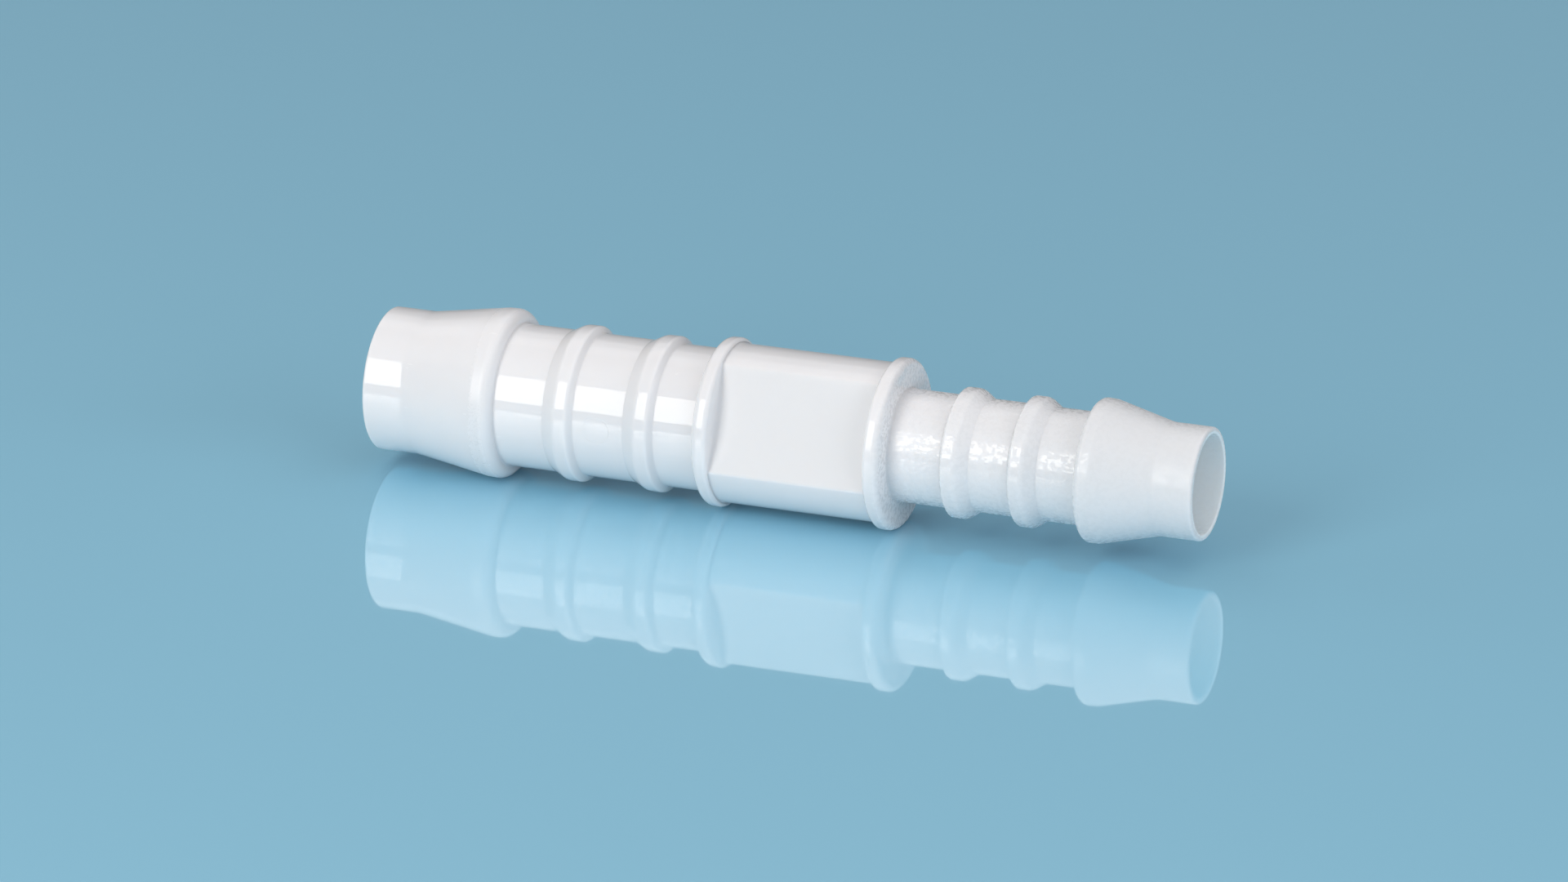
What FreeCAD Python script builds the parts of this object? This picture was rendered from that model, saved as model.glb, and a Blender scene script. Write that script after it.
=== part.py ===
import FreeCAD, Part
import Sketcher
import math
import os

os.makedirs("parts", exist_ok=True)
doc = FreeCAD.newDocument("hose_coupling")
V = FreeCAD.Vector

# Every driving dimension, in millimetres unless the note says degrees.
SIZES = [
    ("large_tube_diameter", 12.70, "plain stretches of the large tail"),
    ("large_wall", 0.75, "wall of the large tail's plain stretches"),
    ("small_tube_diameter", 10.00, "plain stretches of the small tail"),
    ("small_wall", 0.60, "wall of the small tail's plain stretches"),
    ("end_outer_fillet", 0.28, "outer edge of each end face"),
    ("end_inner_fillet", 0.10, "mouth of each bore"),
    ("grip_length", 14.56, "between the two flanges"),
    ("grip_height", 0.715, "round part of the grip above the large tube"),
    ("across_flats", 10.40, "the two flats for a spanner or fingers"),
    ("flat_roll_angle", 22.9, "degrees that the front flat faces above level"),
    ("flat_end_fillet", 0.16, "where a flat meets a flange"),
    ("flat_edge_fillet", 0.12, "long edges of the flats"),
    ("flange_thickness", 1.40, "both flanges"),
    ("large_flange_lip", 0.455, "flange of the large side above the grip"),
    ("small_flange_lip", 0.54, "flange of the small side above the grip"),
    ("flange_outer_fillet", 0.58, "rim edge away from the grip"),
    ("flange_inner_fillet", 0.22, "rim edge beside the grip"),
    ("flange_root_fillet", 0.20, "where a tail meets its flange"),
    ("foot_fillet", 0.18, "where ribs and barbs leave the tubes"),
    ("large_rib_gap", 3.96, "clear tube between the flange and the first rib"),
    ("large_rib_spacing", 4.75, "clear tube between the two ribs"),
    ("large_barb_gap", 4.69, "clear tube between the second rib and the barb"),
    ("large_rib_height", 0.605, "ribs above the large tube"),
    ("large_rib_fall_length", 0.45, "steep side, toward the grip"),
    ("large_rib_crest_length", 1.17, "top of a large rib"),
    ("large_rib_rise_length", 1.20, "gentle side, toward the end"),
    ("large_rib_fall_fillet", 0.36, "top of the steep side"),
    ("large_rib_rise_fillet", 0.95, "top of the gentle side"),
    ("large_back_length", 0.10, "steep back of the large barb"),
    ("large_crest_length", 1.66, "land on the large barb"),
    ("large_cone_length", 7.00, "lead cone of the large barb"),
    ("large_lead_length", 3.70, "straight lead at the large end"),
    ("large_crest_height", 1.255, "widest point of the barb above the large tube"),
    ("large_shoulder_height", 1.19, "top of the lead cone above the large tube"),
    ("large_lead_height", 0.045, "straight lead above the large tube"),
    ("large_crest_fillet", 0.95, "widest point of the large barb"),
    ("large_shoulder_fillet", 0.57, "top of the lead cone"),
    ("large_blend_radius", 4.20, "foot of the lead cone"),
    ("small_rib_gap", 4.94, "clear tube between the flange and the first rib"),
    ("small_rib_spacing", 3.64, "clear tube between the two ribs"),
    ("small_barb_gap", 3.73, "clear tube between the second rib and the barb"),
    ("small_rib_height", 0.765, "ribs above the small tube"),
    ("small_rib_fall_length", 0.25, "steep side, toward the grip"),
    ("small_rib_crest_length", 1.20, "top of a small rib"),
    ("small_rib_rise_length", 1.12, "gentle side, toward the end"),
    ("small_rib_fall_fillet", 0.25, "top of the steep side"),
    ("small_rib_rise_fillet", 0.90, "top of the gentle side"),
    ("small_crest_length", 1.35, "land on the small barb"),
    ("small_cone_length", 5.29, "lead cone of the small barb"),
    ("small_lead_length", 3.78, "straight lead at the small end"),
    ("small_crest_height", 1.40, "widest point of the barb above the small tube"),
    ("small_shoulder_height", 1.33, "top of the lead cone above the small tube"),
    ("small_crest_fillet", 0.68, "widest point of the small barb"),
    ("small_shoulder_fillet", 0.86, "top of the lead cone"),
    ("small_blend_radius", 2.10, "foot of the lead cone"),
    ("bore_step_setback", 0.60, "from the grip to the narrow end of the step"),
    ("bore_step_length", 1.20, "cone between the two bores"),
]

sheet = doc.addObject("Spreadsheet::Sheet", "Sizes")
row = 1
for alias, number, note in SIZES:
    sheet.set("A" + str(row), alias)
    sheet.set("B" + str(row), str(number))
    sheet.set("C" + str(row), note)
    sheet.setAlias("B" + str(row), alias)
    row = row + 1
doc.recompute()


def expression(text):
    """Write a formula in size names as an expression on the sheet."""
    names = sorted([item[0] for item in SIZES], key=len, reverse=True)
    words = text.replace("(", " ( ").replace(")", " ) ").split()
    return " ".join(["Sizes." + word if word in names else word for word in words])


def value(text):
    """The number that a formula gives now."""
    return float(sheet.evalExpression(expression(text)))


def origin_feature(body, role):
    """The plane or axis of a body's own origin that has a role."""
    for feature in body.Origin.OriginFeatures:
        if feature.Role == role:
            return feature
    raise RuntimeError("no origin feature " + role)


def outline(body, name, points):
    """A closed outline in the plane through the axis: along X, outward Z."""
    sketch = body.newObject("Sketcher::SketchObject", name)
    sketch.AttachmentSupport = [(origin_feature(body, "XZ_Plane"), "")]
    sketch.MapMode = "FlatFace"
    corners = [V(value(along), value(out), 0) for along, out in points]
    count = len(corners)
    for i in range(count):
        sketch.addGeometry(Part.LineSegment(corners[i], corners[(i + 1) % count]), False)
    for i in range(count):
        sketch.addConstraint(Sketcher.Constraint("Coincident", i, 2, (i + 1) % count, 1))
    for i in range(count):
        along, out = points[i]
        number = sketch.addConstraint(
            Sketcher.Constraint("DistanceX", -1, 1, i, 1, corners[i].x))
        sketch.setExpression("Constraints[" + str(number) + "]", expression(along))
        if out == "0":
            sketch.addConstraint(Sketcher.Constraint("PointOnObject", i, 1, -1))
        else:
            number = sketch.addConstraint(
                Sketcher.Constraint("DistanceY", -1, 1, i, 1, corners[i].y))
            sketch.setExpression("Constraints[" + str(number) + "]", expression(out))
    doc.recompute()
    if sketch.FullyConstrained is False:
        raise RuntimeError(name + " is not fully constrained")
    return sketch


def volume_now(body):
    doc.recompute()
    if body.Shape.isNull():
        return 0.0
    return body.Shape.Volume


def turned(body, name, kind, points):
    """An outline turned once about the axis, added to or cut from the body."""
    before = volume_now(body)
    sketch = outline(body, name + "_outline", points)
    feature = body.newObject(kind, name)
    feature.Profile = sketch
    feature.ReferenceAxis = (sketch, ["H_Axis"])
    feature.Angle = 360.0
    sketch.Visibility = False
    after = volume_now(body)
    if kind.endswith("Groove") and not after < before:
        raise RuntimeError(name + " cut nothing")
    if kind.endswith("Revolution") and not after > before:
        raise RuntimeError(name + " added nothing")
    return feature


def repeated(body, name, feature, length):
    """A second copy of a feature farther along the axis."""
    pattern = body.newObject("PartDesign::LinearPattern", name)
    pattern.Originals = [feature]
    pattern.Direction = (origin_feature(body, "X_Axis"), [""])
    pattern.Occurrences = 2
    pattern.setExpression("Length", expression(length))
    body.Tip = pattern
    doc.recompute()
    return pattern


def circles_at(shape, wanted):
    """Names of the circular edges about X at given places (along, radius)."""
    found = []
    for place, radius in wanted:
        names = []
        for i in range(len(shape.Edges)):
            edge = shape.Edges[i]
            curve = edge.Curve
            if not isinstance(curve, Part.Circle):
                continue
            near = abs(curve.Center.x - place) < 0.01 and abs(curve.Radius - radius) < 0.01
            if near and abs(curve.Axis.x) > 0.99:
                names.append("Edge" + str(i + 1))
        if len(names) == 0:
            raise RuntimeError("no edge at " + str((round(place, 3), round(radius, 3))))
        found = found + names
    return found


def rounded(body, name, size, places):
    """Fillet the turned edges at given places, by one named radius."""
    base = body.Tip
    wanted = [(value(along), value(out)) for along, out in places]
    feature = body.newObject("PartDesign::Fillet", name)
    feature.Base = (base, circles_at(base.Shape, wanted))
    feature.setExpression("Radius", expression(size))
    doc.recompute()
    if "Invalid" in feature.State or feature.Shape.isNull() or not feature.Shape.isValid():
        raise RuntimeError(name + " failed")
    return feature



body = doc.addObject("PartDesign::Body", "connector_body")
body.Label = "connector_body"
body.Placement = FreeCAD.Placement(V(0, 0, 0), FreeCAD.Rotation(0, 0, 0))

# Distances out from the axis, as formulas in the named sizes.
LARGE_TUBE = "( large_tube_diameter / 2 )"
SMALL_TUBE = "( small_tube_diameter / 2 )"
GRIP = "( " + LARGE_TUBE + " + grip_height )"
LARGE_RIM = "( " + GRIP + " + large_flange_lip )"
SMALL_RIM = "( " + GRIP + " + small_flange_lip )"
LARGE_RIB = "( " + LARGE_TUBE + " + large_rib_height )"
SMALL_RIB = "( " + SMALL_TUBE + " + small_rib_height )"
LARGE_LEAD = "( " + LARGE_TUBE + " + large_lead_height )"
LARGE_SHOULDER = "( " + LARGE_TUBE + " + large_shoulder_height )"
LARGE_CREST = "( " + LARGE_TUBE + " + large_crest_height )"
SMALL_SHOULDER = "( " + SMALL_TUBE + " + small_shoulder_height )"
SMALL_CREST = "( " + SMALL_TUBE + " + small_crest_height )"
LARGE_BORE = "( " + LARGE_TUBE + " - large_wall )"
SMALL_BORE = "( " + SMALL_TUBE + " - small_wall )"
UNDER_LARGE_TUBE = "( " + LARGE_TUBE + " - large_wall / 2 )"
UNDER_SMALL_TUBE = "( " + SMALL_TUBE + " - small_wall / 2 )"
BEYOND_RIM = "( " + SMALL_RIM + " * 1.5 )"

# Places along the axis, from the middle of the grip out to each end.
GRIP_L = "( 0 - grip_length / 2 )"
FACE_L = "( " + GRIP_L + " - flange_thickness )"
RIB_L1 = "( " + FACE_L + " - large_rib_gap )"
RIB_L2 = "( " + RIB_L1 + " - large_rib_fall_length )"
RIB_L3 = "( " + RIB_L2 + " - large_rib_crest_length )"
RIB_L4 = "( " + RIB_L3 + " - large_rib_rise_length )"
LARGE_RIB_PITCH = "( " + RIB_L1 + " - " + RIB_L4 + " + large_rib_spacing )"
BACK_L = "( " + RIB_L4 + " - " + LARGE_RIB_PITCH + " - large_barb_gap )"
CREST_L = "( " + BACK_L + " - large_back_length )"
SHOULDER_L = "( " + CREST_L + " - large_crest_length )"
CONE_L = "( " + SHOULDER_L + " - large_cone_length )"
END_L = "( " + CONE_L + " - large_lead_length )"
GRIP_R = "( grip_length / 2 )"
FACE_R = "( " + GRIP_R + " + flange_thickness )"
RIB_R1 = "( " + FACE_R + " + small_rib_gap )"
RIB_R2 = "( " + RIB_R1 + " + small_rib_fall_length )"
RIB_R3 = "( " + RIB_R2 + " + small_rib_crest_length )"
RIB_R4 = "( " + RIB_R3 + " + small_rib_rise_length )"
SMALL_RIB_PITCH = "( " + RIB_R4 + " - " + RIB_R1 + " + small_rib_spacing )"
BACK_R = "( " + RIB_R4 + " + " + SMALL_RIB_PITCH + " + small_barb_gap )"
SHOULDER_R = "( " + BACK_R + " + small_crest_length )"
CONE_R = "( " + SHOULDER_R + " + small_cone_length )"
END_R = "( " + CONE_R + " + small_lead_length )"
STEP_B = "( " + GRIP_L + " - bore_step_setback )"
STEP_A = "( " + STEP_B + " - bore_step_length )"

core = turned(body, "core", "PartDesign::Revolution", [
    (END_L, "0"),
    (END_L, LARGE_TUBE),
    (FACE_L, LARGE_TUBE),
    (FACE_L, LARGE_RIM),
    (GRIP_L, LARGE_RIM),
    (GRIP_L, GRIP),
    (GRIP_R, GRIP),
    (GRIP_R, SMALL_RIM),
    (FACE_R, SMALL_RIM),
    (FACE_R, SMALL_TUBE),
    (END_R, SMALL_TUBE),
    (END_R, "0"),
])

# The large barb: a straight lead, a long cone, a short land and a steep back.
large_barb = turned(body, "large_barb", "PartDesign::Revolution", [
    (END_L, UNDER_LARGE_TUBE),
    (END_L, LARGE_LEAD),
    (CONE_L, LARGE_LEAD),
    (SHOULDER_L, LARGE_SHOULDER),
    (CREST_L, LARGE_CREST),
    (BACK_L, LARGE_TUBE),
    (BACK_L, UNDER_LARGE_TUBE),
])

# The small barb faces the other way, with a square back.
small_barb = turned(body, "small_barb", "PartDesign::Revolution", [
    (BACK_R, UNDER_SMALL_TUBE),
    (BACK_R, SMALL_CREST),
    (SHOULDER_R, SMALL_SHOULDER),
    (CONE_R, SMALL_TUBE),
    (CONE_R, UNDER_SMALL_TUBE),
])

# Two low ribs on each tail, each gentle toward its own end.
far_large_rib = turned(body, "far_large_rib", "PartDesign::Revolution", [
    (RIB_L4 + " - " + LARGE_RIB_PITCH, UNDER_LARGE_TUBE),
    (RIB_L4 + " - " + LARGE_RIB_PITCH, LARGE_TUBE),
    (RIB_L3 + " - " + LARGE_RIB_PITCH, LARGE_RIB),
    (RIB_L2 + " - " + LARGE_RIB_PITCH, LARGE_RIB),
    (RIB_L1 + " - " + LARGE_RIB_PITCH, LARGE_TUBE),
    (RIB_L1 + " - " + LARGE_RIB_PITCH, UNDER_LARGE_TUBE),
])
large_ribs = repeated(body, "large_ribs", far_large_rib, LARGE_RIB_PITCH)

near_small_rib = turned(body, "near_small_rib", "PartDesign::Revolution", [
    (RIB_R1, UNDER_SMALL_TUBE),
    (RIB_R1, SMALL_TUBE),
    (RIB_R2, SMALL_RIB),
    (RIB_R3, SMALL_RIB),
    (RIB_R4, SMALL_TUBE),
    (RIB_R4, UNDER_SMALL_TUBE),
])
small_ribs = repeated(body, "small_ribs", near_small_rib, SMALL_RIB_PITCH)

# Fillets of the turned outside.
rounded(body, "large_cone_foot", "large_blend_radius", [
    (CONE_L, LARGE_LEAD),
])
rounded(body, "large_cone_top", "large_shoulder_fillet", [
    (SHOULDER_L, LARGE_SHOULDER),
])
rounded(body, "large_barb_crest", "large_crest_fillet", [
    (CREST_L, LARGE_CREST),
])
rounded(body, "small_cone_foot", "small_blend_radius", [
    (CONE_R, SMALL_TUBE),
])
rounded(body, "small_cone_top", "small_shoulder_fillet", [
    (SHOULDER_R, SMALL_SHOULDER),
])
rounded(body, "small_barb_crest", "small_crest_fillet", [
    (BACK_R, SMALL_CREST),
])
rounded(body, "large_rib_gentle_tops", "large_rib_rise_fillet", [
    (RIB_L3, LARGE_RIB),
    (RIB_L3 + " - " + LARGE_RIB_PITCH, LARGE_RIB),
])
rounded(body, "large_rib_steep_tops", "large_rib_fall_fillet", [
    (RIB_L2, LARGE_RIB),
    (RIB_L2 + " - " + LARGE_RIB_PITCH, LARGE_RIB),
])
rounded(body, "small_rib_gentle_tops", "small_rib_rise_fillet", [
    (RIB_R3, SMALL_RIB),
    (RIB_R3 + " + " + SMALL_RIB_PITCH, SMALL_RIB),
])
rounded(body, "small_rib_steep_tops", "small_rib_fall_fillet", [
    (RIB_R2, SMALL_RIB),
    (RIB_R2 + " + " + SMALL_RIB_PITCH, SMALL_RIB),
])
rounded(body, "feet_on_tubes", "foot_fillet", [
    (BACK_L, LARGE_TUBE),
    (RIB_L1, LARGE_TUBE),
    (RIB_L4, LARGE_TUBE),
    (RIB_L1 + " - " + LARGE_RIB_PITCH, LARGE_TUBE),
    (RIB_L4 + " - " + LARGE_RIB_PITCH, LARGE_TUBE),
    (BACK_R, SMALL_TUBE),
    (RIB_R1, SMALL_TUBE),
    (RIB_R4, SMALL_TUBE),
    (RIB_R1 + " + " + SMALL_RIB_PITCH, SMALL_TUBE),
    (RIB_R4 + " + " + SMALL_RIB_PITCH, SMALL_TUBE),
])
rounded(body, "flange_outer_rims", "flange_outer_fillet", [
    (FACE_L, LARGE_RIM),
    (FACE_R, SMALL_RIM),
])
rounded(body, "flange_inner_rims", "flange_inner_fillet", [
    (GRIP_L, LARGE_RIM),
    (GRIP_R, SMALL_RIM),
])
rounded(body, "flange_roots", "flange_root_fillet", [
    (FACE_L, LARGE_TUBE),
    (FACE_R, SMALL_TUBE),
])

# Two flats, cut between the flanges and rolled about the axis.
before = volume_now(body)
flats = body.newObject("Sketcher::SketchObject", "flats_outline")
flats.AttachmentSupport = [(origin_feature(body, "YZ_Plane"), "")]
flats.MapMode = "FlatFace"
flats.AttachmentOffset = FreeCAD.Placement(V(0, 0, 0), FreeCAD.Rotation(V(0, 0, 1), 1))
half = value("across_flats / 2")
tall = value(BEYOND_RIM)
for side in (-1, 1):
    first = flats.GeometryCount
    near = side * half
    far = side * tall
    corners = [V(near, -tall, 0), V(far, -tall, 0), V(far, tall, 0), V(near, tall, 0)]
    for i in range(4):
        flats.addGeometry(Part.LineSegment(corners[i], corners[(i + 1) % 4]), False)
    for i in range(4):
        flats.addConstraint(
            Sketcher.Constraint("Coincident", first + i, 2, first + (i + 1) % 4, 1))
    for i in range(4):
        corner = corners[i]
        across = "across_flats / 2"
        if i == 1 or i == 2:
            across = BEYOND_RIM
        if side < 0:
            across = "0 - " + across
        upright = BEYOND_RIM
        if i < 2:
            upright = "0 - " + upright
        number = flats.addConstraint(
            Sketcher.Constraint("DistanceX", -1, 1, first + i, 1, corner.x))
        flats.setExpression("Constraints[" + str(number) + "]", expression(across))
        number = flats.addConstraint(
            Sketcher.Constraint("DistanceY", -1, 1, first + i, 1, corner.y))
        flats.setExpression("Constraints[" + str(number) + "]", expression(upright))
flats.setExpression(".AttachmentOffset.Rotation.Angle", "0 - Sizes.flat_roll_angle")
cut = body.newObject("PartDesign::Pocket", "flats")
cut.Profile = flats
cut.Type = "Length"
cut.Midplane = True
cut.setExpression("Length", expression("grip_length"))
flats.Visibility = False
if not volume_now(body) < before:
    raise RuntimeError("flats cut nothing")


def flat_edges(shape, ends):
    """Straight edges of the flats: across the grip at its ends, or along it."""
    names = []
    half_grip = value("grip_length / 2")
    for i in range(len(shape.Edges)):
        edge = shape.Edges[i]
        if not isinstance(edge.Curve, Part.Line):
            continue
        a = edge.Vertexes[0].Point
        b = edge.Vertexes[-1].Point
        outward = min(math.hypot(a.y, a.z), math.hypot(b.y, b.z))
        if outward < value("across_flats / 2") - 0.01:
            continue
        across = abs(a.x - b.x) < 0.001 and abs(abs(a.x) - half_grip) < 0.001
        lengthwise = abs(a.x - b.x) > 1.6 * half_grip
        if ends and across:
            names.append("Edge" + str(i + 1))
        if not ends and lengthwise:
            names.append("Edge" + str(i + 1))
    return names


base = body.Tip
long_edges = flat_edges(base.Shape, False)
if len(long_edges) != 4:
    raise RuntimeError("expected four long edges, found " + str(len(long_edges)))
edge_break = body.newObject("PartDesign::Fillet", "flat_long_edges")
edge_break.Base = (base, long_edges)
edge_break.setExpression("Radius", expression("flat_edge_fillet"))
doc.recompute()
base = body.Tip
end_edges = flat_edges(base.Shape, True)
if len(end_edges) != 4:
    raise RuntimeError("expected four end edges, found " + str(len(end_edges)))
corner_fill = body.newObject("PartDesign::Fillet", "flat_end_corners")
corner_fill.Base = (base, end_edges)
corner_fill.setExpression("Radius", expression("flat_end_fillet"))
doc.recompute()

# The bore: wide through the large tail, then a cone, then narrow to the end.
bore = turned(body, "through_bore", "PartDesign::Groove", [
    (END_L, "0"),
    (END_L, LARGE_BORE),
    (STEP_A, LARGE_BORE),
    (STEP_B, SMALL_BORE),
    (END_R, SMALL_BORE),
    (END_R, "0"),
])
rounded(body, "end_outer_edges", "end_outer_fillet", [
    (END_L, LARGE_LEAD),
    (END_R, SMALL_TUBE),
])
rounded(body, "bore_mouths", "end_inner_fillet", [
    (END_L, LARGE_BORE),
    (END_R, SMALL_BORE),
])
body.Tip = doc.getObject("bore_mouths")
doc.recompute()

for item in doc.Objects:
    if "Invalid" in item.State or "Error" in item.State:
        raise RuntimeError(item.Name + " did not build: " + str(item.State))
shape = body.Shape
if shape.isNull() or not shape.isValid() or len(shape.Solids) != 1:
    raise RuntimeError("the body is not one valid solid")
shape.exportStep("parts/connector_body.step")
box = shape.BoundBox
print("connector_body", len(shape.Faces), "faces, volume", round(shape.Volume, 2))
print("box", round(box.XMin, 3), round(box.XMax, 3), round(box.YMin, 3), round(box.YMax, 3),
      round(box.ZMin, 3), round(box.ZMax, 3))
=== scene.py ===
import math

import bpy
import numpy as np
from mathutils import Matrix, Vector


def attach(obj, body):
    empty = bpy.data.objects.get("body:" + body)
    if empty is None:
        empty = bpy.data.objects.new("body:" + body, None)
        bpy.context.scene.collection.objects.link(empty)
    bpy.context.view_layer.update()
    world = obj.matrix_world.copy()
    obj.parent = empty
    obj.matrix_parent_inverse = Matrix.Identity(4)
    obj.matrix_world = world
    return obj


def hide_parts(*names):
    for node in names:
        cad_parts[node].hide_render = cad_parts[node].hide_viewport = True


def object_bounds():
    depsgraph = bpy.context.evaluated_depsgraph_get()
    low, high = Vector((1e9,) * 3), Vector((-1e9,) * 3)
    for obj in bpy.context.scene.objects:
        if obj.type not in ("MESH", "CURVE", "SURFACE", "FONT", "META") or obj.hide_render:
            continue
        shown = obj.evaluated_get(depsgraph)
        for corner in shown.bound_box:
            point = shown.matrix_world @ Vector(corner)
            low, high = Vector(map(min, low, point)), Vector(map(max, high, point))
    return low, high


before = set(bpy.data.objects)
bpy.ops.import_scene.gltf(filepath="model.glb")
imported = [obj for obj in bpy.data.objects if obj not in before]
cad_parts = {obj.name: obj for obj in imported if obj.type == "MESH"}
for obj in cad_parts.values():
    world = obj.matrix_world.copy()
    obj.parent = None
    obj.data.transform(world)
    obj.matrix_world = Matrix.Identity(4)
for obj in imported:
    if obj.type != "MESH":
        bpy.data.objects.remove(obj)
CAD_BOX = [list(corner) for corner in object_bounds()]

# ---------------------------------------------------------------- sizes, in metres
MM = 0.001

LARGE_TUBE = 6.35 * MM          # outside radius of the plain stretches
SMALL_TUBE = 5.00 * MM
LARGE_WALL = 0.75 * MM
SMALL_WALL = 0.60 * MM
GRIP_HALF = 7.28 * MM           # from the middle of the grip to each flange
GRIP = LARGE_TUBE + 0.715 * MM
FLAT_OUT = 5.20 * MM            # from the axis to each flat
FLAT_ROLL = math.radians(22.9)  # the front flat faces this far above level
FLANGE = 1.40 * MM
LARGE_RIM = GRIP + 0.455 * MM
SMALL_RIM = GRIP + 0.54 * MM

LARGE_RIB = dict(gap=3.96, spacing=4.75, fall=0.45, crest=1.17, rise=1.20, height=0.605,
                 fall_round=0.36, rise_round=0.95)
SMALL_RIB = dict(gap=4.94, spacing=3.64, fall=0.25, crest=1.20, rise=1.12, height=0.765,
                 fall_round=0.25, rise_round=0.90)
LARGE_BARB = dict(gap=4.69, back=0.10, land=1.66, cone=7.00, lead=3.70, crest=1.255,
                  shoulder=1.19, straight=0.045, crest_round=0.95, shoulder_round=0.57,
                  blend=4.20)
SMALL_BARB = dict(gap=3.73, back=0.0, land=1.35, cone=5.29, lead=3.78, crest=1.40,
                  shoulder=1.33, straight=0.0, crest_round=0.68, shoulder_round=0.86,
                  blend=2.10)
FOOT_ROUND = 0.18 * MM
ROOT_ROUND = 0.20 * MM
RIM_OUTER_ROUND = 0.58 * MM
RIM_INNER_ROUND = 0.36 * MM
GRIP_ROUND = 0.12 * MM          # hollow where the round of the grip meets a flange
FLAT_END_ROUND = 0.50 * MM      # the same hollow, at the middle of a flat
END_OUTER_ROUND = 0.28 * MM
END_INNER_ROUND = 0.10 * MM
FLAT_EDGE_BAND = 0.14 * MM      # how much radius the soft edge of a flat takes up
BORE_STEP_SETBACK = 0.60 * MM
BORE_STEP = 1.20 * MM
BORE_STEP_ROUND = 0.40 * MM

OUTLINE_STEP = 0.90 * MM        # the longest stretch of a straight without a point
ARC_STEP = math.radians(13)
ROOM = 0.96                     # how much of a straight the arcs at its two ends may take
TURN_COUNT = 232                # even columns round the axis, to which the flats' edges add
EDGE_MARGIN = math.radians(2.3)
EDGE_COLUMNS = np.radians([-1.7, -1.15, -0.75, -0.35, 0.0, 0.35, 0.75, 1.15, 1.7])

GATE_ALONG = -17.95 * MM        # a faint round mark on the front of the large tail
GATE_RADIUS = 1.20 * MM

FLOOR_Z = CAD_BOX[0][2]
TABLE_SIZE = 4.0

# ---------------------------------------------------------------- colours
MILK_SHADE = (0.808, 0.796, 0.808, 1)
MILK = (0.834, 0.820, 0.830, 1)
RUBBED = (0.960, 0.950, 0.950, 1)
# painted shade: the flats darkened to offset the key light that falls on them
FLAT_PAINTED_SHADE = (0.735, 0.727, 0.735, 1)
# painted shade: the small tail darker and bluer toward its tip
TIP_PAINTED_SHADE = (0.690, 0.705, 0.725, 1)
# painted light: the small bore lightened and blued, as if lit through its walls
PAINTED_BORE_LIGHT = (0.900, 0.955, 1.000, 1)
TABLE_DARK = (0.318, 0.675, 0.885, 1)
TABLE_LIGHT = (0.348, 0.705, 0.905, 1)
WARM_LIGHT = (1.0, 0.975, 0.93)
COOL_LIGHT = (0.97, 0.98, 1.0)
SKY = (0.93, 0.97, 1.0, 1)
SKY_STRENGTH = 0.11


# ---------------------------------------------------------------- the moulded body
def tail_outline(tube, rib, barb):
    """Corners (along, out, rounding) of one tail, from its flange out to its end.

    Distances along are measured from the flange's outer face, and grow toward the end:
    two low ribs, steep toward the grip, then the barb's back, land, cone and lead.
    """
    corners = []
    place = rib["gap"] * MM
    high = tube + rib["height"] * MM
    for _ in range(2):
        fall, crest, rise = rib["fall"] * MM, rib["crest"] * MM, rib["rise"] * MM
        corners.append((place, tube, FOOT_ROUND))
        corners.append((place + fall, high, rib["fall_round"] * MM))
        corners.append((place + fall + crest, high, rib["rise_round"] * MM))
        corners.append((place + fall + crest + rise, tube, FOOT_ROUND))
        place += fall + crest + rise + rib["spacing"] * MM
    place += (barb["gap"] - rib["spacing"]) * MM
    corners.append((place, tube, FOOT_ROUND))
    place += barb["back"] * MM
    corners.append((place, tube + barb["crest"] * MM, barb["crest_round"] * MM))
    place += barb["land"] * MM
    corners.append((place, tube + barb["shoulder"] * MM, barb["shoulder_round"] * MM))
    place += barb["cone"] * MM
    corners.append((place, tube + barb["straight"] * MM, barb["blend"] * MM))
    place += barb["lead"] * MM
    corners.append((place, tube + barb["straight"] * MM, END_OUTER_ROUND))
    return corners


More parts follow.
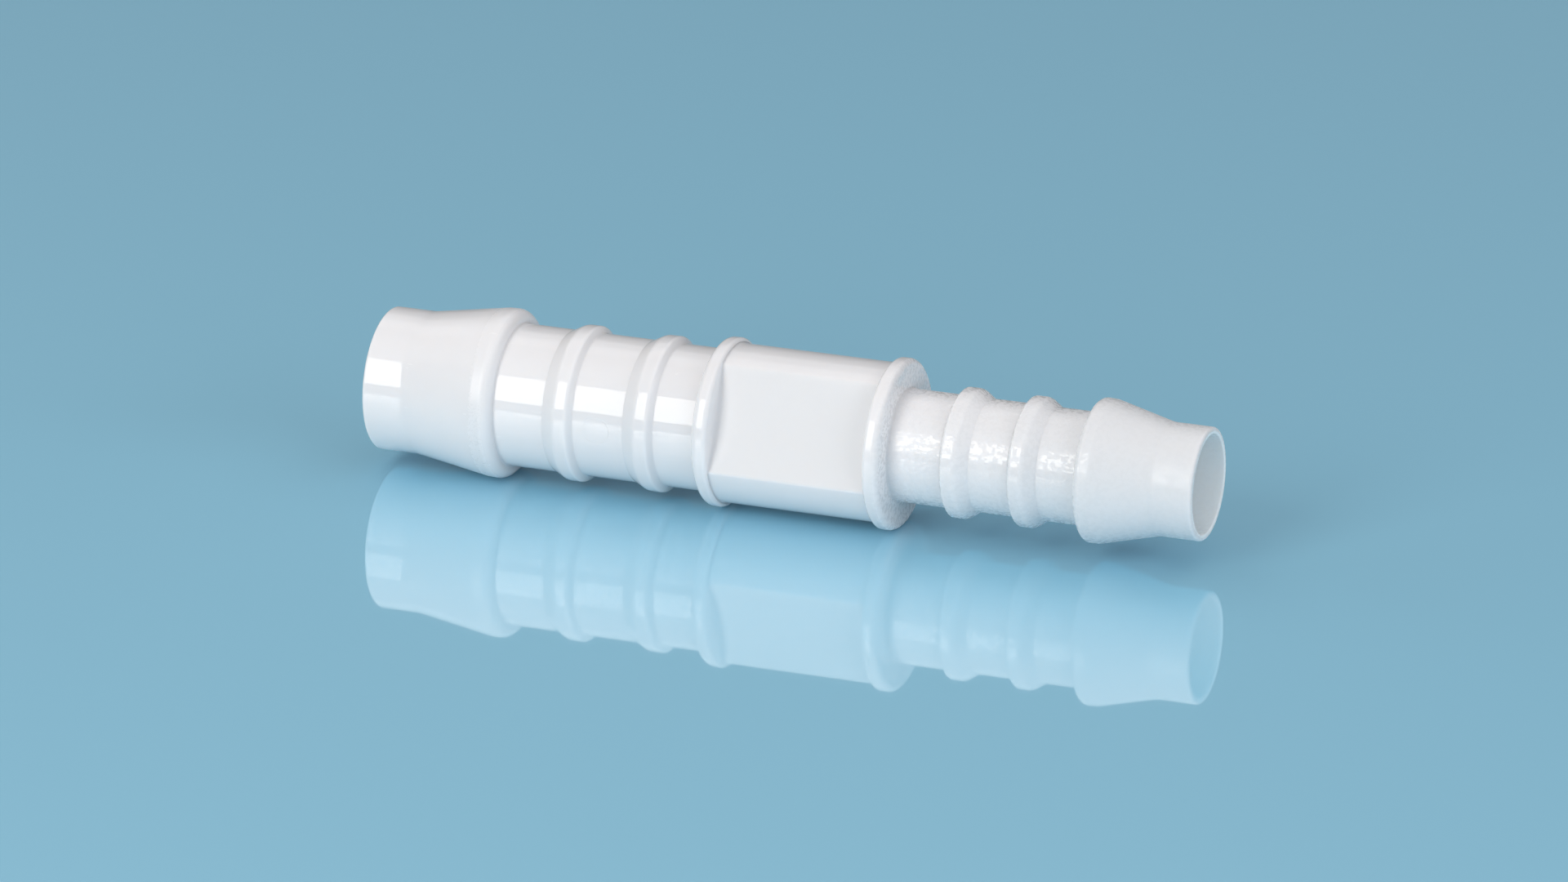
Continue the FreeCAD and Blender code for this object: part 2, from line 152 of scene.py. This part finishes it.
def softened(corners, closed_step):
    """A closed outline through corners, each turned into the arc tangent to both sides.

    An arc of radius r at a corner of interior angle a touches its sides r / tan(a / 2)
    from the corner. Each straight keeps a point close to either end, so that the
    shading of a straight stays flat right up to its arcs.
    """
    points = np.array([(a, b) for a, b, _ in corners])
    sizes = [size for _, _, size in corners]
    count = len(points)
    pieces = []
    for i in range(count):
        here = points[i]
        back = points[i - 1] - here
        ahead = points[(i + 1) % count] - here
        back_length, ahead_length = np.hypot(*back), np.hypot(*ahead)
        back, ahead = back / back_length, ahead / ahead_length
        angle = math.acos(max(-1.0, min(1.0, float(back @ ahead))))
        if sizes[i] <= 0 or math.pi - angle < 1e-3:
            pieces.append(here[None, :])
            continue
        back_room = ROOM * back_length * sizes[i] / (sizes[i] + sizes[i - 1])
        ahead_room = ROOM * ahead_length * sizes[i] / (sizes[i] + sizes[(i + 1) % count])
        reach = min(sizes[i] / math.tan(angle / 2), back_room, ahead_room)
        size = reach * math.tan(angle / 2)
        middle = here + (back + ahead) / np.hypot(*(back + ahead)) * size / math.sin(angle / 2)
        first = here + back * reach - middle
        last = here + ahead * reach - middle
        turn = math.copysign(math.pi - angle, first[0] * last[1] - first[1] * last[0])
        steps = max(4, int(abs(turn) / ARC_STEP) + 1)
        bends = np.linspace(0, turn, steps + 1)
        arc = np.stack([middle[0] + first[0] * np.cos(bends) - first[1] * np.sin(bends),
                        middle[1] + first[0] * np.sin(bends) + first[1] * np.cos(bends)], 1)
        pieces.append(arc)
    outline = []
    for i in range(count):
        outline.append(pieces[i])
        start, end = pieces[i][-1], pieces[(i + 1) % count][0]
        gap = np.hypot(*(end - start))
        inner = np.linspace(0, 1, max(1, int(round(gap / closed_step))) + 1)[1:-1]
        near = min(0.12, 0.05 * MM / gap) if gap > 0 else 0
        shares = np.concatenate([[near], inner, [1 - near]])[:, None]
        if gap > 0.12 * MM:
            outline.append(start + (end - start) * shares)
    return np.concatenate(outline)


def body_outline():
    """The closed outline of the wall: along the outside, then back along the bore."""
    face = GRIP_HALF + FLANGE
    large = [(-face - a, b, c) for a, b, c in tail_outline(LARGE_TUBE, LARGE_RIB, LARGE_BARB)]
    small = [(face + a, b, c) for a, b, c in tail_outline(SMALL_TUBE, SMALL_RIB, SMALL_BARB)]
    large_end, small_end = large[-1][0], small[-1][0]
    large_bore, small_bore = LARGE_TUBE - LARGE_WALL, SMALL_TUBE - SMALL_WALL
    step_narrow = -GRIP_HALF - BORE_STEP_SETBACK
    corners = large[::-1]
    corners += [
        (-face, LARGE_TUBE, ROOT_ROUND),
        (-face, LARGE_RIM, RIM_OUTER_ROUND),
        (-GRIP_HALF, LARGE_RIM, RIM_INNER_ROUND),
    ]
    corners += [(-GRIP_HALF + reach, GRIP, 0) for reach in hollow_reaches()]
    corners += [(GRIP_HALF - reach, GRIP, 0) for reach in hollow_reaches()[::-1]]
    corners += [
        (GRIP_HALF, SMALL_RIM, RIM_INNER_ROUND),
        (face, SMALL_RIM, RIM_OUTER_ROUND),
        (face, SMALL_TUBE, ROOT_ROUND),
    ]
    corners += small
    corners += [
        (small_end, small_bore, END_INNER_ROUND),
        (step_narrow, small_bore, BORE_STEP_ROUND),
        (step_narrow - BORE_STEP, large_bore, BORE_STEP_ROUND),
        (large_end, large_bore, END_INNER_ROUND),
    ]
    return softened(corners, OUTLINE_STEP)


def hollow_reaches():
    """Distances from a flange at which the grip's outline needs a point, close at first."""
    return list(FLAT_END_ROUND * (1 - np.cos(np.linspace(0, math.pi / 2, 8))))


def turn_columns():
    """Angles about the axis from the front flat's middle, closer at the flats' edges."""
    edge = math.acos(FLAT_OUT / GRIP)
    even = np.linspace(0, 2 * math.pi, TURN_COUNT, endpoint=False)
    edges = np.array([edge, math.pi - edge, math.pi + edge, 2 * math.pi - edge])
    away = np.abs(even[:, None] - edges[None, :]).min(1)
    close = (edges[:, None] + EDGE_COLUMNS[None, :]).ravel()
    return np.sort(np.concatenate([even[away > EDGE_MARGIN], close]))


def flat_drop(turn):
    """How far the grip's surface lies inside its round, at each angle.

    A flat at distance d is d / |cos(turn)| out from the axis. The lesser of that and
    the round is taken, with the corner between them softened by a small square law.
    """
    flat = FLAT_OUT / np.maximum(np.abs(np.cos(turn)), 0.2)
    overlap = np.maximum(FLAT_EDGE_BAND - np.abs(flat - GRIP), 0) / FLAT_EDGE_BAND
    return np.minimum(flat, GRIP) - overlap ** 2 * FLAT_EDGE_BAND / 4 - GRIP


def grid_object(name, points, material):
    """A mesh from points[i, j], joined to its own start in both directions."""
    rows, columns = points.shape[:2]
    index = np.arange(rows * columns).reshape(rows, columns)
    ahead = np.roll(index, -1, 0)
    quads = np.stack([index, ahead, np.roll(ahead, -1, 1), np.roll(index, -1, 1)], -1)
    quads = quads.reshape(-1, 4)
    mesh = bpy.data.meshes.new(name)
    mesh.vertices.add(rows * columns)
    mesh.vertices.foreach_set("co", points.reshape(-1).astype(np.float32))
    mesh.loops.add(quads.size)
    mesh.loops.foreach_set("vertex_index", quads.reshape(-1).astype(np.int32))
    mesh.polygons.add(len(quads))
    mesh.polygons.foreach_set("loop_start", np.arange(0, quads.size, 4, dtype=np.int32))
    mesh.polygons.foreach_set("use_smooth", np.ones(len(quads), dtype=bool))
    mesh.update(calc_edges=True)
    mesh.validate()
    mesh.materials.append(material)
    piece = bpy.data.objects.new(name, mesh)
    bpy.context.scene.collection.objects.link(piece)
    return piece


def moulded_skin(material):
    """The whole coupling: its outline turned about X, dropped in at the two flats.

    At angle t from the front flat's middle the grip lies at out + drop(t). Near a flange
    it rises along a quarter round, whose radius grows with the drop, and from the top
    of that round the flange's inner face climbs evenly to its rim.
    """
    outline = body_outline()
    along, out = outline[:, 0], outline[:, 1]
    turn = turn_columns()
    drop = flat_drop(turn)[None, :]
    depth = -drop / (GRIP - FLAT_OUT)
    hollow = GRIP_ROUND + (FLAT_END_ROUND - GRIP_ROUND) * depth
    on_grip = (np.abs(along) < GRIP_HALF + 1e-7) & (out < GRIP + 1e-7) & (out > GRIP - 1e-7)
    from_flange = np.abs(GRIP_HALF - np.abs(along))[:, None]
    left = np.clip(hollow - from_flange, 0, None)
    lift = hollow - np.sqrt(hollow ** 2 - left ** 2)
    grip_radius = GRIP + drop + lift
    rim = (np.where(along < 0, LARGE_RIM, SMALL_RIM) - RIM_INNER_ROUND)[:, None]
    on_wall = (np.abs(np.abs(along) - GRIP_HALF) < 1e-7) & (out > GRIP + 1e-7)
    up_wall = np.clip((out[:, None] - GRIP) / (rim - GRIP), 0, 1)
    wall_radius = (GRIP + drop + hollow) * (1 - up_wall) + rim * up_wall
    radius = np.where(on_grip[:, None], grip_radius, out[:, None] + 0 * drop)
    radius = np.where(on_wall[:, None] & (up_wall < 1), wall_radius, radius)
    y = -radius * np.cos(turn + FLAT_ROLL)[None, :]
    z = radius * np.sin(turn + FLAT_ROLL)[None, :]
    x = np.broadcast_to(along[:, None], radius.shape)
    return grid_object("moulded_skin", np.stack([x, y, z], -1), material)


# ---------------------------------------------------------------- shader maths
class Number:
    """A socket that ordinary arithmetic can be done on: each step adds a Math node."""

    def __init__(self, shader, socket):
        self.shader = shader
        self.socket = socket

    def math(self, operation, *inputs):
        return self.shader.node("ShaderNodeMath", {"operation": operation},
                                dict(enumerate(inputs)))

    def __add__(self, other):
        return self.math("ADD", self, other)

    def __radd__(self, other):
        return self.math("ADD", other, self)

    def __sub__(self, other):
        return self.math("SUBTRACT", self, other)

    def __rsub__(self, other):
        return self.math("SUBTRACT", other, self)

    def __mul__(self, other):
        return self.math("MULTIPLY", self, other)

    def __rmul__(self, other):
        return self.math("MULTIPLY", other, self)

    def __abs__(self):
        return self.math("ABSOLUTE", self)


class Finish:
    """A material and the one method that adds any node to it."""

    def __init__(self, name):
        self.material = bpy.data.materials.new(name)
        self.material.use_nodes = True
        self.tree = self.material.node_tree
        self.tree.nodes.clear()

    def node(self, kind, settings, sockets, output=0):
        """Adds a node: its settings first, then the values or links of its sockets."""
        made = self.tree.nodes.new(kind)
        for key, setting in settings.items():
            setattr(made, key, setting)
        for key, entry in sockets.items():
            if isinstance(entry, Number):
                self.tree.links.new(entry.socket, made.inputs[key])
            else:
                made.inputs[key].default_value = entry
        return Number(self, made.outputs[output])

    def band(self, number, low, high, to_low=0.0, to_high=1.0):
        """A smooth step from to_low to to_high while number goes from low to high."""
        return self.node("ShaderNodeMapRange", {"interpolation_type": "SMOOTHSTEP"},
                         {"Value": number, "From Min": low, "From Max": high,
                          "To Min": to_low, "To Max": to_high})

    def mixed(self, factor, first, second):
        """A colour from first at factor 0 to second at factor 1."""
        return self.node("ShaderNodeMix", {"data_type": "RGBA"},
                         {"Factor": factor, 6: first, 7: second}, output=2)

    def noise(self, place, scale, detail=2.0, roughness=0.5):
        """Cloudy noise between 0 and 1, with scale bumps to the metre."""
        return self.node("ShaderNodeTexNoise", {"noise_dimensions": "3D"},
                         {"Vector": place, "Scale": scale, "Detail": detail,
                          "Roughness": roughness})

    def stretched(self, place, scale, rotation=(0, 0, 0)):
        """The place turned and scaled, so that a noise comes out as streaks."""
        return self.node("ShaderNodeMapping", {}, {"Vector": place, "Scale": scale,
                                                   "Rotation": rotation})

    def length(self, x, y, z):
        """The length of a vector given by its three parts."""
        vector = self.node("ShaderNodeCombineXYZ", {}, {"X": x, "Y": y, "Z": z})
        return self.node("ShaderNodeVectorMath", {"operation": "LENGTH"}, {0: vector}, output=1)

    def surface(self, **sockets):
        """The Principled shader, wired to the material's output."""
        shader = self.node("ShaderNodeBsdfPrincipled", {},
                           {key.replace("_", " "): entry for key, entry in sockets.items()})
        result = self.tree.nodes.new("ShaderNodeOutputMaterial")
        self.tree.links.new(shader.socket, result.inputs["Surface"])
        return self.material


def natural_plastic():
    """Milky uncoloured plastic: polished on the large tail, spark-textured on the small."""
    finish = Finish("natural_plastic")
    place = finish.node("ShaderNodeTexCoord", {}, {}, output=3)
    along = finish.node("ShaderNodeSeparateXYZ", {}, {"Vector": place}, output=0)
    upright = finish.node("ShaderNodeSeparateXYZ", {}, {"Vector": place}, output=2)
    sideways = finish.node("ShaderNodeSeparateXYZ", {}, {"Vector": place}, output=1)
    from_axis = finish.length(0.0, sideways, upright)
    # the distance out along the front flat's normal, which is 0 on the parting plane
    flat_way = upright * math.sin(FLAT_ROLL) - sideways * math.cos(FLAT_ROLL)

    # where each finish lies, and where light and shade are painted
    small_side = finish.band(along, GRIP_HALF + 0.4 * MM, GRIP_HALF + FLANGE)
    large_side = finish.band(along, -GRIP_HALF, -GRIP_HALF - 0.5 * MM)
    on_flat = finish.band(abs(flat_way), FLAT_OUT - 0.05 * MM, FLAT_OUT - 0.02 * MM)
    on_flat = on_flat * finish.band(abs(flat_way), FLAT_OUT + 0.06 * MM, FLAT_OUT + 0.02 * MM)
    on_flat = on_flat * (1 - large_side) * (1 - small_side)
    toward_tip = small_side * finish.band(along, 6.0 * MM, 36.0 * MM, 0.15, 1.0)
    # where painted light fills the small bore
    painted_bore_light_mask = finish.band(from_axis, SMALL_TUBE - 0.25 * MM, SMALL_TUBE - 0.45 * MM)
    dull_crest = (finish.band(along, -20.0 * MM, -22.0 * MM)
                  * finish.band(from_axis, LARGE_TUBE + 0.40 * MM, LARGE_TUBE + 1.20 * MM))

    # what varies over the surface, from broad clouds to fine sparks and rubbed streaks
    cloud = finish.noise(place, 90.0, 3.0)
    grain = finish.noise(place, 5200.0, 3.0, 0.6)
    spark = finish.noise(place, 2200.0, 2.0, 0.6)
    speckle = (finish.band(spark, 0.48, 0.55) * small_side
               * finish.band(along, 22.0 * MM, 32.0 * MM, 1.0, 0.4))
    drawn = finish.noise(finish.stretched(place, (0.05, 1.0, 1.0)), 3600.0)
    rubs = finish.noise(finish.stretched(place, (0.25, 1.0, 1.0), (0.3, 0.2, 0.5)), 2600.0, 4.0)
    rubbed = finish.band(rubs, 0.66, 0.74) * finish.band(finish.noise(place, 260.0), 0.52, 0.66)

    colour = finish.mixed(finish.band(cloud, 0.3, 0.7), MILK_SHADE, MILK)
    colour = finish.mixed(rubbed * 0.5, colour, RUBBED)
    # painted shade on the flats, which face the key light
    colour = finish.mixed(on_flat * 0.5, colour, FLAT_PAINTED_SHADE)
    # painted shade, deepening toward the small tip
    colour = finish.mixed(toward_tip * 0.55, colour, TIP_PAINTED_SHADE)
    # painted light inside the small bore, for light that comes through its walls
    colour = finish.mixed(painted_bore_light_mask, colour, PAINTED_BORE_LIGHT)

    rough = 0.035 + small_side * 0.28 + on_flat * 0.42 + (1 - large_side) * 0.04
    rough = rough + dull_crest * 0.24 + toward_tip * 0.10
    rough = rough + (cloud - 0.5) * 0.02 + (grain - 0.5) * 0.01
    rough = rough + rubbed * 0.15

    # heights in millimetres: a gate mark on the front, and the seam of the parting plane
    from_gate = finish.length(along - GATE_ALONG, 0.0, upright)
    gate = finish.band(from_gate, GATE_RADIUS - 0.04 * MM, GATE_RADIUS + 0.04 * MM)
    gate = gate * finish.band(sideways, 0.0, -3.0 * MM)
    seam = finish.band(abs(flat_way), 0.05 * MM, 0.0)
    relief = ((cloud - 0.5) * 0.010 + drawn * 0.0006 * (1 - small_side)
              + grain * (0.0006 + on_flat * 0.0020) + spark * small_side * 0.0040
              + gate * 0.020 + seam * 0.012)
    bump = finish.node("ShaderNodeBump", {}, {"Height": relief, "Strength": 1.0,
                                              "Distance": MM})
    return finish.surface(
        Base_Color=colour, Roughness=rough, Normal=bump, IOR=1.49,
        Subsurface_Weight=1.0, Subsurface_Radius=(1.0, 0.95, 0.90), Subsurface_Scale=0.45 * MM,
        Coat_Weight=speckle, Coat_Roughness=0.04, Coat_IOR=1.50)


def table_top():
    """A plain pale blue glossy table."""
    finish = Finish("table_top")
    place = finish.node("ShaderNodeTexCoord", {}, {}, output=3)
    cloud = finish.noise(place, 2.2)
    colour = finish.mixed(cloud, TABLE_DARK, TABLE_LIGHT)
    rough = 0.03 + cloud * 0.02
    return finish.surface(Base_Color=colour, Roughness=rough, IOR=1.75,
                          Coat_Weight=0.8, Coat_Roughness=0.015, Coat_IOR=1.5)


# ---------------------------------------------------------------- the object
skin = moulded_skin(natural_plastic())
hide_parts("connector_body")
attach(skin, "root")


# ---------------------------------------------------------------- floor, light and camera
def table(size):
    """A level square, size on each side, touching the underside of the object."""
    half = size / 2
    mesh = bpy.data.meshes.new("table")
    mesh.from_pydata([(-half, -half, FLOOR_Z), (half, -half, FLOOR_Z),
                      (half, half, FLOOR_Z), (-half, half, FLOOR_Z)], [], [(0, 1, 2, 3)])
    mesh.materials.append(table_top())
    plane = bpy.data.objects.new("table", mesh)
    bpy.context.scene.collection.objects.link(plane)
    return plane


def direction(azimuth, elevation):
    """A unit vector: azimuth from -Y toward +X, elevation above level, in degrees."""
    a, e = math.radians(azimuth), math.radians(elevation)
    return Vector((math.sin(a) * math.cos(e), -math.cos(a) * math.cos(e), math.sin(e)))


def softbox(name, toward, distance, width, height, radiance, colour=COOL_LIGHT, mirrored=True):
    """A rectangular light of a given radiance, facing the object from a direction.

    One that isn't mirrored lights surfaces but doesn't show in glossy ones.
    """
    light = bpy.data.lights.new(name, "AREA")
    light.shape = "RECTANGLE"
    light.size, light.size_y = width, height
    light.energy = radiance * width * height * math.pi
    light.color = colour
    lamp = bpy.data.objects.new(name, light)
    lamp.visible_glossy = mirrored
    lamp.location = toward * distance
    lamp.rotation_euler = (-toward).to_track_quat("-Z", "Y").to_euler()
    bpy.context.scene.collection.objects.link(lamp)


table(TABLE_SIZE)

world = bpy.data.worlds.new("studio")
world.use_nodes = True
world.node_tree.nodes["Background"].inputs["Color"].default_value = SKY
world.node_tree.nodes["Background"].inputs["Strength"].default_value = SKY_STRENGTH
bpy.context.scene.world = world

softbox("key_softbox", direction(-20, 25.5), distance=0.75, width=0.33, height=0.50,
        radiance=4.9, colour=WARM_LIGHT)
softbox("overhead_softbox", direction(0, 88), distance=1.0, width=2.0, height=1.7,
        radiance=0.60)
softbox("back_softbox", direction(190, 50), distance=1.0, width=1.7, height=0.65,
        radiance=0.65)
softbox("right_fill", direction(68, 16), distance=0.85, width=0.80, height=0.46,
        radiance=2.5, mirrored=False)
softbox("left_fill", direction(-80, 16), distance=0.85, width=0.80, height=0.46,
        radiance=0.95, mirrored=False)
softbox("low_fill", direction(12, 5.5), distance=0.80, width=1.5, height=0.18,
        radiance=2.2, mirrored=False)

VIEW_AZIMUTH, VIEW_ELEVATION, VIEW_DISTANCE = 20.6, 20.4, 0.860
LENS, SENSOR = 225.0, 36.0      # millimetres
LOOK_ALONG = -2.67 * MM
LOOK_DROP = 1.06 * MM

camera = bpy.data.cameras.new("camera")
camera.lens = LENS
camera.sensor_width = SENSOR
camera.clip_start = 0.01
camera.clip_end = 20.0
eye = bpy.data.objects.new("camera", camera)
bpy.context.scene.collection.objects.link(eye)
away = direction(VIEW_AZIMUTH, VIEW_ELEVATION)
turned_to = (-away).to_track_quat("-Z", "Y")
view_up = turned_to @ Vector((0, 1, 0))
eye.rotation_euler = turned_to.to_euler()
eye.location = Vector((LOOK_ALONG, 0, 0)) - view_up * LOOK_DROP + away * VIEW_DISTANCE
bpy.context.scene.camera = eye
bpy.context.scene.view_settings.view_transform = "Standard"
